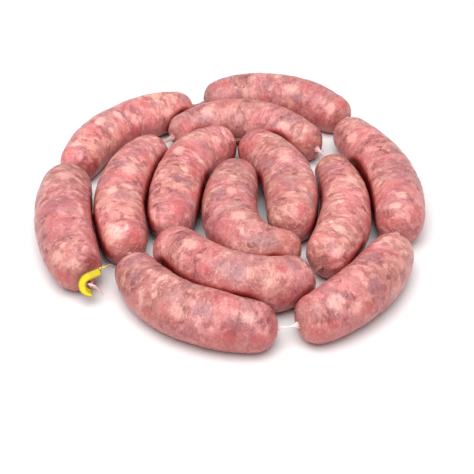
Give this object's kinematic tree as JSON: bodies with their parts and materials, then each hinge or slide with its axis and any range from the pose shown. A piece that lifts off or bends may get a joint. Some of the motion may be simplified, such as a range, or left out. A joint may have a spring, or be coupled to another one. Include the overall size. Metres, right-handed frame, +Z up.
{
  "type": "string of sausage links",
  "caption": "Fresh coarse-ground sausages in natural casing, twisted into a string of links that lies in a flat coil, its outer end shut by a small bent clip.",
  "frame": {"origin": "middle of the coil's outer box, on the surface that it lies on", "axes": "+Z up, +X to the right and +Y away from the side that is shown; the clip is at the left front"},
  "size_m": [0.259, 0.2812, 0.0372],
  "materials": {
    "meat": "moist and softly shiny, salmon pink with pale fat and darker lean meat showing through the casing",
    "casing": "pale, thin, half see-through skin, turned into pleats",
    "clip_plastic": "smooth bright yellow plastic"
  },
  "bodies": {
    "root": {"link_01": "meat", "link_02": "meat", "link_03": "meat", "link_04": "meat", "link_05": "meat", "link_06": "meat", "link_07": "meat", "link_08": "meat", "link_09": "meat", "link_10": "meat", "link_11": "meat", "link_12": "meat", "link_13": "meat", "twist_01": "casing", "twist_02": "casing", "twist_03": "casing", "twist_04": "casing", "twist_05": "casing", "twist_06": "casing", "twist_07": "casing", "twist_08": "casing", "twist_09": "casing", "twist_10": "casing", "twist_11": "casing", "twist_12": "casing", "end_knot": "casing", "clip": "clip_plastic", "tail_short": "casing", "tail_long": "casing"}
  },
  "joints": []
}
